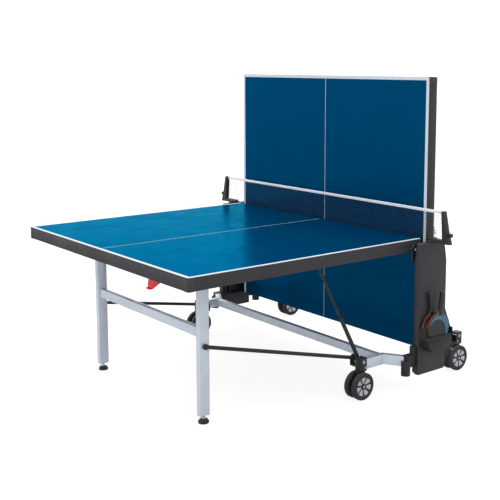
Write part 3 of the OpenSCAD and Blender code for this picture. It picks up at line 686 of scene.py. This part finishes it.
# %% Fold the tape and sew it
TAPE_SECTION = ((-0.55, 0.0), (-0.62, 0.25), (-0.7, 0.5), (-1.0, 0.68), (-0.95, 0.86), (-0.5, 1.0),
                (0.5, 1.0), (0.95, 0.86), (1.0, 0.68), (0.7, 0.5), (0.62, 0.25), (0.55, 0.0))
TAPE_STEPS = 180
STITCH_PITCH = 0.006


def woven(material, pitch):
    """Adds a plain weave to a coat: two crossed sets of fine bands as extra bump."""
    tree = material.node_tree
    shader = tree.nodes["Principled BSDF"]
    place = tree.nodes.new("ShaderNodeTexCoord")
    grain = shader.inputs["Normal"].links[0].from_node
    last = grain.outputs["Normal"]
    for direction in ("X", "Z"):
        bands = new_node(tree, "ShaderNodeTexWave", bands_direction=direction)
        bands.inputs["Scale"].default_value = 0.314 / pitch
        link(tree, place.outputs["Object"], bands.inputs["Vector"])
        relief = new_node(tree, "ShaderNodeBump", label="weave " + direction)
        relief.inputs["Strength"].default_value = 0.35
        relief.inputs["Distance"].default_value = pitch / 4
        link(tree, bands.outputs["Fac"], relief.inputs["Height"])
        link(tree, last, relief.inputs["Normal"])
        last = relief.outputs["Normal"]
    link(tree, last, shader.inputs["Normal"])
    return material


def closed_loft(name, rings):
    """A closed skin over rings with the same number of points."""
    count = len(rings[0])
    faces = [tuple(reversed(range(count)))]
    for r in range(len(rings) - 1):
        for i in range(count):
            j = (i + 1) % count
            faces.append((r * count + i, r * count + j, (r + 1) * count + j, (r + 1) * count + i))
    faces.append(tuple(range((len(rings) - 1) * count, len(rings) * count)))
    made = plain_object(name, [p for ring in rings for p in ring], faces=faces)
    solid = bmesh.new()
    solid.from_mesh(made.data)
    bmesh.ops.recalc_face_normals(solid, faces=solid.faces)
    solid.to_mesh(made.data)
    solid.free()
    return made


def tape_ring(x):
    ripple = 0.00025 * math.sin(x * 61.0) + 0.00015 * math.sin(x * 23.0 + 1.0)
    thick, tall = TAPE_HIGH.y, TAPE_HIGH.z - TAPE_LOW.z
    return [(x, thick * y + ripple * (1 - z), TAPE_LOW.z + tall * z) for y, z in TAPE_SECTION]


def stitch_tree():
    """A short thread on each point, lying along X."""
    tree, start, end = tree_of("Stitches", ("Thread", 0.0006), ("Length", 0.0036))
    thread = tree.nodes.new("GeometryNodeMeshCylinder")
    thread.inputs["Vertices"].default_value = 5
    half = new_node(tree, "ShaderNodeMath", operation="MULTIPLY")
    half.inputs[1].default_value = 0.5
    link(tree, start.outputs["Thread"], half.inputs[0])
    link(tree, half.outputs[0], thread.inputs["Radius"])
    link(tree, start.outputs["Length"], thread.inputs["Depth"])
    sewn = tree.nodes.new("GeometryNodeInstanceOnPoints")
    sewn.inputs["Rotation"].default_value = (0, math.radians(90), 0)
    link(tree, start.outputs["Geometry"], sewn.inputs["Points"])
    link(tree, thread.outputs[0], sewn.inputs["Instance"])
    end_tree(tree, start, end, sewn.outputs[0])
    return tree


TAPE_CLOTH = woven(coat("cotton_tape", from_srgb(236, 238, 241), 0.8, grain=0.0005, bump=0.2), 0.0008)
TAPE_THREAD = coat("tape_thread", from_srgb(205, 208, 212), 0.7, grain=0.0003, bump=0.2)
tape = closed_loft("net_tape_folded", [tape_ring(TAPE_LOW.x + (TAPE_HIGH.x - TAPE_LOW.x) * i / TAPE_STEPS)
                                       for i in range(TAPE_STEPS + 1)])
tape.data.polygons.foreach_set("use_smooth", [True] * len(tape.data.polygons))
PIECE["net_tape"] = finished(tape, "base", TAPE_CLOTH, ["net_tape"])
stitch_count = int((TAPE_HIGH.x - TAPE_LOW.x - 0.02) / STITCH_PITCH)
seam = [(TAPE_LOW.x + 0.01 + STITCH_PITCH * i, side * 0.00098, TAPE_LOW.z + 0.0032)
        for side in (-1, 1) for i in range(stitch_count + 1)]
sewn = grown(plain_object("tape_stitches", seam), stitch_tree(), TAPE_THREAD)
stitches = finished(sewn, "base")
print("stitches:", len(seam))

# %% [markdown]
# ## Wheel hubs
# Each wheel shows seven silver petals on a dark web, round a bright cap. One petal and its rounded
# cap are modelled, and the tree turns copies of the petal round the axle and mirrors the ring to the
# other wheel of the pair. The petal is a wedge with a raised middle, so it catches light like a dish.

# %% Shape the petals
PETALS = 7
PETAL_SPAN = math.radians(37)
PETAL_RADII = (0.0125, 0.0455)


def hub_tree():
    """Turns a petal round the axle, adds a cap and mirrors the ring to the pair's other wheel."""
    tree, start, end = tree_of("Hub petals", ("Face", 0.035), ("Cap", 0.0125))
    group_socket(tree, "Petals", "INPUT", "NodeSocketInt", PETALS)
    group_socket(tree, "Centre", "INPUT", "NodeSocketVector")
    spots = tree.nodes.new("GeometryNodeMeshLine")
    spots.inputs["Offset"].default_value = (0, 0, 0)
    link(tree, start.outputs["Petals"], spots.inputs["Count"])
    number = tree.nodes.new("GeometryNodeInputIndex")
    share = new_node(tree, "ShaderNodeMath", operation="DIVIDE")
    link(tree, number.outputs[0], share.inputs[0])
    link(tree, start.outputs["Petals"], share.inputs[1])
    turn = new_node(tree, "ShaderNodeMath", operation="MULTIPLY")
    turn.inputs[1].default_value = 2 * math.pi
    link(tree, share.outputs[0], turn.inputs[0])
    about_x = tree.nodes.new("ShaderNodeCombineXYZ")
    link(tree, turn.outputs[0], about_x.inputs["X"])
    ring = tree.nodes.new("GeometryNodeInstanceOnPoints")
    link(tree, spots.outputs[0], ring.inputs["Points"])
    link(tree, start.outputs["Geometry"], ring.inputs["Instance"])
    link(tree, about_x.outputs[0], ring.inputs["Rotation"])
    cap = tree.nodes.new("GeometryNodeMeshCone")
    cap.inputs["Vertices"].default_value = 20
    cap.inputs["Depth"].default_value = 0.004
    link(tree, start.outputs["Cap"], cap.inputs["Radius Bottom"])
    small = new_node(tree, "ShaderNodeMath", operation="MULTIPLY")
    small.inputs[1].default_value = 0.7
    link(tree, start.outputs["Cap"], small.inputs[0])
    link(tree, small.outputs[0], cap.inputs["Radius Top"])
    lay = tree.nodes.new("GeometryNodeTransform")
    lay.inputs["Rotation"].default_value = (0, math.radians(90), 0)
    lay.inputs["Translation"].default_value = (-0.0035, 0, 0)
    link(tree, cap.outputs[0], lay.inputs["Geometry"])
    wheel = tree.nodes.new("GeometryNodeJoinGeometry")
    link(tree, ring.outputs[0], wheel.inputs[0])
    link(tree, lay.outputs[0], wheel.inputs[0])
    out = tree.nodes.new("GeometryNodeTransform")
    reach = tree.nodes.new("ShaderNodeCombineXYZ")
    link(tree, start.outputs["Face"], reach.inputs["X"])
    link(tree, wheel.outputs[0], out.inputs["Geometry"])
    link(tree, reach.outputs[0], out.inputs["Translation"])
    sides = tree.nodes.new("GeometryNodeMeshLine")
    sides.inputs["Count"].default_value = 2
    sides.inputs["Offset"].default_value = (0, 0, 0)
    half_turn = new_node(tree, "ShaderNodeMath", operation="MULTIPLY")
    half_turn.inputs[1].default_value = math.pi
    link(tree, number.outputs[0], half_turn.inputs[0])
    about_z = tree.nodes.new("ShaderNodeCombineXYZ")
    link(tree, half_turn.outputs[0], about_z.inputs["Z"])
    pair = tree.nodes.new("GeometryNodeInstanceOnPoints")
    link(tree, sides.outputs[0], pair.inputs["Points"])
    link(tree, out.outputs[0], pair.inputs["Instance"])
    link(tree, about_z.outputs[0], pair.inputs["Rotation"])
    placed = tree.nodes.new("GeometryNodeTransform")
    link(tree, pair.outputs[0], placed.inputs["Geometry"])
    link(tree, start.outputs["Centre"], placed.inputs["Translation"])
    end_tree(tree, start, end, placed.outputs[0])
    return tree


def petal(name):
    """One wedge in the YZ plane, its outer face towards +X and its middle raised."""
    low_r, high_r = PETAL_RADII
    steps = 4
    front, back = [], []
    for r, lift in ((low_r, -0.004), (0.5 * (low_r + high_r), -0.0025), (high_r, -0.0005)):
        for i in range(steps + 1):
            share = i / steps - 0.5
            angle = PETAL_SPAN * share * (1 - 0.25 * (high_r - r) / (high_r - low_r))
            crown = 0.0016 * (1 - (2 * share) ** 2)
            front.append((lift + crown - 0.0016, r * math.sin(angle), r * math.cos(angle)))
            back.append((-0.0095, r * math.sin(angle), r * math.cos(angle)))
    count = steps + 1
    verts = front + back
    off = len(front)
    faces = []
    for row in range(2):
        for i in range(steps):
            a = row * count + i
            faces.append((a, a + 1, a + count + 1, a + count))
            faces.append((off + a, off + a + count, off + a + count + 1, off + a + 1))
    rim = ([i for i in range(count)] + [count - 1 + count * r for r in (1, 2)]
           + [2 * count + i for i in range(steps - 1, -1, -1)] + [count])
    for a, b in zip(rim, rim[1:] + rim[:1]):
        faces.append((b, a, off + a, off + b))
    made = plain_object(name, verts, faces=faces)
    solid = bmesh.new()
    solid.from_mesh(made.data)
    bmesh.ops.recalc_face_normals(solid, faces=solid.faces)
    solid.to_mesh(made.data)
    solid.free()
    return made


HUB_TREE = hub_tree()
for half in HALVES:
    for side in SIDES:
        corner = f"{half}_{side}"
        low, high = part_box(corner + "_hubs")
        centre = Vector(JOINTS[corner + "_roll"]["pos_m"])
        silver = grown(petal(corner + "_hub_petals"), HUB_TREE, PETAL_PAINT,
                       face=(high.x - low.x) / 2 - 0.0006, centre=tuple(centre))
        PIECE[corner + "_petals"] = finished(silver, corner + "_wheels")
print("hub faces for one caster:", len(silver.data.polygons))

# %% [markdown]
# ## Bats
# A bat is a plywood blade of about 6 mm with a 2 mm rubber on each face and a flared handle. The
# blade and rubbers are flat slabs cut to one outline, with small chamfers, and the handle is lofted
# from rounded sections that start thin on the blade and flare at the end. The faces are plain: one
# side black with a pale blue arc, the other red.

# %% Finishes of the bats
PLY = coat("plywood_edge", from_srgb(98, 72, 50), 0.55, grain=0.0008, bump=0.2, drift=0.15)
HANDLE = coat("handle_lacquer", from_srgb(26, 26, 29), 0.3, grain=0.002, bump=0.15, drift=0.1)
RED_RUBBER = coat("red_rubber", from_srgb(120, 14, 22), 0.38, grain=0.0012, bump=0.12)


def arc_rubber(name, centre):
    """Black rubber with a pale blue arc near its rim, about the blade's own middle."""
    material = coat(name, from_srgb(24, 25, 30), 0.33, grain=0.0012, bump=0.12)
    tree = material.node_tree
    shader = tree.nodes["Principled BSDF"]
    place = tree.nodes.new("ShaderNodeTexCoord")
    reach = []
    for offset in ((0, 0), (-0.016, -0.02)):
        shift = new_node(tree, "ShaderNodeVectorMath", operation="SUBTRACT")
        shift.inputs[1].default_value = (centre.x, centre.y + offset[0], centre.z + offset[1])
        link(tree, place.outputs["Object"], shift.inputs[0])
        flat = new_node(tree, "ShaderNodeVectorMath", operation="MULTIPLY")
        flat.inputs[1].default_value = (0, 1, 1)
        link(tree, shift.outputs[0], flat.inputs[0])
        far = new_node(tree, "ShaderNodeVectorMath", operation="LENGTH")
        link(tree, flat.outputs[0], far.inputs[0])
        reach.append(far.outputs["Value"])
    inside = step(tree, reach[0], 0.069, above=False)
    outside = step(tree, reach[1], 0.064)
    arc = new_node(tree, "ShaderNodeMath", operation="MULTIPLY")
    link(tree, inside, arc.inputs[0])
    link(tree, outside, arc.inputs[1])
    tinted = new_node(tree, "ShaderNodeMix", data_type="RGBA", label="arc")
    tinted.inputs[7].default_value = from_srgb(56, 106, 132)
    link(tree, arc.outputs[0], tinted.inputs["Factor"])
    link(tree, shader.inputs["Base Color"].links[0].from_socket, tinted.inputs[6])
    link(tree, tinted.outputs[2], shader.inputs["Base Color"])
    return material


# %% Cut the blades and turn the handles
BLADE_R = 0.075
NECK = ((0.0225, 0.0722), (0.0185, 0.0755), (0.0165, 0.080), (0.016, 0.087))
RUBBER_TOP = 0.060
GRIP = ((0.056, 0.0115, 0.0036), (0.064, 0.0128, 0.0062), (0.076, 0.0135, 0.0098), (0.09, 0.0130, 0.0108),
        (0.115, 0.0122, 0.0106), (0.145, 0.0126, 0.0107), (0.170, 0.0137, 0.0109), (0.1765, 0.0138, 0.0107),
        (0.179, 0.0120, 0.0090))


def blade_outline():
    """The blade's outline as (across, along the handle), round the rim from one neck side to the other."""
    first = math.radians(20)
    round_part = [(BLADE_R * math.sin(a), BLADE_R * math.cos(a))
                  for a in (first + (2 * math.pi - 2 * first) * i / 72 for i in range(73))]
    right = [(u, v) for u, v in reversed(NECK)]
    left = [(-u, v) for u, v in NECK]
    return right + round_part + left


def slab(solid, outline, near, far, chamfer, place, material):
    """An extruded outline with chamfered edges, added to a bmesh."""
    middle = (0.0, 0.0)
    rings = []
    for x, inset in ((near, chamfer), (near + chamfer, 0), (far - chamfer, 0), (far, chamfer)):
        rings.append([solid.verts.new(place(x, middle[0] + u * (1 - inset / BLADE_R),
                                            middle[1] + v * (1 - inset / BLADE_R))) for u, v in outline])
    made = [solid.faces.new(rings[0]), solid.faces.new(list(reversed(rings[-1])))]
    for one, two in zip(rings, rings[1:]):
        for i in range(len(one)):
            j = (i + 1) % len(one)
            made.append(solid.faces.new((one[j], one[i], two[i], two[j])))
    for face in made:
        face.material_index = material


def grip(solid, place, material):
    rings = []
    for along, wide, thick in GRIP:
        ring = []
        for i in range(20):
            a = 2 * math.pi * i / 20
            c, s = math.cos(a), math.sin(a)
            ring.append(solid.verts.new(place(thick * math.copysign(abs(s) ** 0.75, s),
                                              wide * math.copysign(abs(c) ** 0.75, c), along)))
        rings.append(ring)
    made = [solid.faces.new(rings[0]), solid.faces.new(list(reversed(rings[-1])))]
    for one, two in zip(rings, rings[1:]):
        for i in range(20):
            j = (i + 1) % 20
            made.append(solid.faces.new((one[j], one[i], two[i], two[j])))
    for face in made:
        face.material_index = material
        face.smooth = True


def make_bat(side):
    node = side + "_bat"
    low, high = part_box(node)
    centre = Vector(((low.x + high.x) / 2, low.y + BLADE_R, low.z + BLADE_R))
    along = Vector(JOINTS[node + "_lift"]["axis"]).normalized()
    across = Vector((1, 0, 0)).cross(along)

    def place(x, u, v):
        return centre + Vector((x, 0, 0)) + across * -u + along * v

    outline = blade_outline()
    rubber = [(u, min(v, RUBBER_TOP)) for u, v in outline if abs(u) > 0.0226 or v < 0.05]
    solid = bmesh.new()
    slab(solid, outline, -0.0031, 0.0031, 0.0006, place, 0)
    slab(solid, rubber, 0.00305, 0.0054, 0.0005, place, 1)
    slab(solid, rubber, -0.0054, -0.00305, 0.0005, place, 2)
    grip(solid, place, 3)
    bmesh.ops.recalc_face_normals(solid, faces=solid.faces)
    mesh = bpy.data.meshes.new(node + "_piece")
    solid.to_mesh(mesh)
    solid.free()
    piece = bpy.data.objects.new(node + "_piece", mesh)
    bpy.context.scene.collection.objects.link(piece)
    black = arc_rubber(side + "_bat_black_face", centre)
    faces = (PLY, black, RED_RUBBER, HANDLE) if side == "right" else (PLY, RED_RUBBER, black, HANDLE)
    for material in faces:
        mesh.materials.append(material)
    return finished(piece, NODES[node]["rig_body"], replaces=[node])


for side in SIDES:
    PIECE[side + "_bat"] = make_bat(side)
    print(side, "bat faces:", len(PIECE[side + "_bat"].data.polygons))

# %% [markdown]
# ## Screws and bolts
# Every pivot ends in a bolt head, and covers, housings and rails are screwed on. All heads are one
# hexagonal shape with a washer, grown on points that carry their own size and the direction in which
# they face, so one mesh of heads is made for each body.

# %% Grow the bolt heads
def bolt_tree():
    """A hexagonal head on a washer on each point, turned to the point's own direction."""
    tree, start, end = tree_of("Bolt heads", ("Height", 0.55))
    head = tree.nodes.new("GeometryNodeMeshCone")
    head.inputs["Vertices"].default_value = 6
    head.inputs["Radius Bottom"].default_value = 1.0
    head.inputs["Radius Top"].default_value = 0.86
    link(tree, start.outputs["Height"], head.inputs["Depth"])
    washer = tree.nodes.new("GeometryNodeMeshCylinder")
    washer.inputs["Vertices"].default_value = 14
    washer.inputs["Radius"].default_value = 1.45
    washer.inputs["Depth"].default_value = 0.36
    both = tree.nodes.new("GeometryNodeJoinGeometry")
    link(tree, head.outputs[0], both.inputs[0])
    link(tree, washer.outputs[0], both.inputs[0])
    facing = new_node(tree, "GeometryNodeInputNamedAttribute", data_type="FLOAT_VECTOR")
    facing.inputs["Name"].default_value = "facing"
    size = new_node(tree, "GeometryNodeInputNamedAttribute", data_type="FLOAT")
    size.inputs["Name"].default_value = "size"
    aim = new_node(tree, "FunctionNodeAlignRotationToVector", axis="Z")
    link(tree, facing.outputs["Attribute"], aim.inputs["Vector"])
    heads = tree.nodes.new("GeometryNodeInstanceOnPoints")
    link(tree, start.outputs["Geometry"], heads.inputs["Points"])
    link(tree, both.outputs[0], heads.inputs["Instance"])
    link(tree, aim.outputs[0], heads.inputs["Rotation"])
    link(tree, size.outputs["Attribute"], heads.inputs["Scale"])
    end_tree(tree, start, end, heads.outputs[0])
    return tree


BOLT_TREE = bolt_tree()
BOLT_SLOTS = {"zinc_steel": FINISH["zinc_steel"], "black_steel": FINISH["black_steel"],
              "anthracite_plastic": FINISH["anthracite_plastic"]}


def bolts(name, body, slot, spots):
    """Bolt heads for one body from (place, facing, radius) rows."""
    base = plain_object(name, [tuple(place) for place, facing, size in spots])
    base.data.attributes.new("facing", "FLOAT_VECTOR", "POINT")
    base.data.attributes.new("size", "FLOAT", "POINT")
    for i, (place, facing, size) in enumerate(spots):
        base.data.attributes["facing"].data[i].vector = facing
        base.data.attributes["size"].data[i].value = size
    made = grown(base, BOLT_TREE, BOLT_SLOTS[slot], height=0.9)
    for old in ("facing", "size"):
        if old in made.data.attributes:
            made.data.attributes.remove(made.data.attributes[old])
    print(name, len(spots))
    return finished(made, body)


def across_pair(places, size):
    """The same spots on both sides of the table, each facing outwards along X."""
    return [(Vector((sign * x, y, z)), (sign * way, 0, 0), size)
            for x, y, z, way in places for sign in (1, -1)]


for half in HALVES:
    pins = []
    strut = JOINTS[f"{half}_struts_turn"]["pos_m"]
    legs = JOINTS[f"{half}_legs_fold"]["pos_m"]
    strut_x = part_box(f"{half}_strut_rods")[1].x - 0.010
    leg_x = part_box(f"{half}_leg_frame")[1].x - 0.015
    for x, (_, y, z), reach in ((strut_x, strut, 0.0175), (leg_x, legs, 0.0225)):
        pins += [(x + reach, y, z, 1), (x - reach, y, z, -1)]
    PIECE[half + "_pin_heads"] = bolts(half + "_pin_heads", half + "_top", "zinc_steel",
                                       across_pair(pins, 0.0075))
print("pin heads on both halves")

# %% [markdown]
# The covers, the caster housings and the brackets of the lower bars belong to the frame. The bright
# bolt on each housing's outer face holds the side tube in it.

# %% Screw the frame together
FOOT_TALL = 0.0225


def far_face(node, direction):
    """The middle of the face of a node that lies furthest in a direction."""
    places = [vertex.co for vertex in NODES[node].data.vertices]
    furthest = max(place.dot(direction) for place in places)
    rim = [place for place in places if furthest - place.dot(direction) < 1e-4]
    return sum(rim, Vector()) / len(rim)


frame_spots, cover_spots = [], []
low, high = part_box("caster_housings")
for y in (-1, 1):
    frame_spots += across_pair([(high.x, y * 0.351, 0.186, 1)], 0.006)
    frame_spots += across_pair([(high.x, y * 0.340, 0.156, 1)], 0.004)
cover_low, cover_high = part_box("right_side_cover")
for y, z in ((-0.078, cover_low.z + 0.018), (0.078, cover_low.z + 0.018), (-0.078, cover_high.z - 0.020),
             (0.062, cover_high.z - 0.060)):
    cover_spots.append((Vector((cover_high.x, y, z)), (1, 0, 0), 0.0035))
    cover_spots.append((Vector((-cover_high.x, -y, z)), (-1, 0, 0), 0.0035))
for half in HALVES:
    ends = [(far_face(f"{half}_lower_bars", Vector((way, 0, 0))), (way, 0, 0), 0.0062) for way in (1, -1)]
    PIECE[half + "_bar_bolts"] = bolts(half + "_bar_bolts", half + "_lower_bars", "zinc_steel", ends)
    for side in SIDES:
        foot = f"{half}_{side}_foot"
        down = Vector(JOINTS[foot + "_screw"]["axis"]).normalized()
        nut = far_face(foot, down) - down * FOOT_TALL
        PIECE[foot + "_nut"] = bolts(foot + "_nut", foot, "zinc_steel", [(nut, tuple(-down), 0.0082)])
PIECE["housing_bolts"] = bolts("housing_bolts", "base", "zinc_steel", frame_spots)
PIECE["cover_screws"] = bolts("cover_screws", "base", "anthracite_plastic", cover_spots)
print("bolt pieces:", sum(name.endswith(("bolts", "screws", "heads")) for name in PIECE))

# %% Write the sizes and finish
low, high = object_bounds()
print("visual size:", [round(v, 3) for v in high - low])
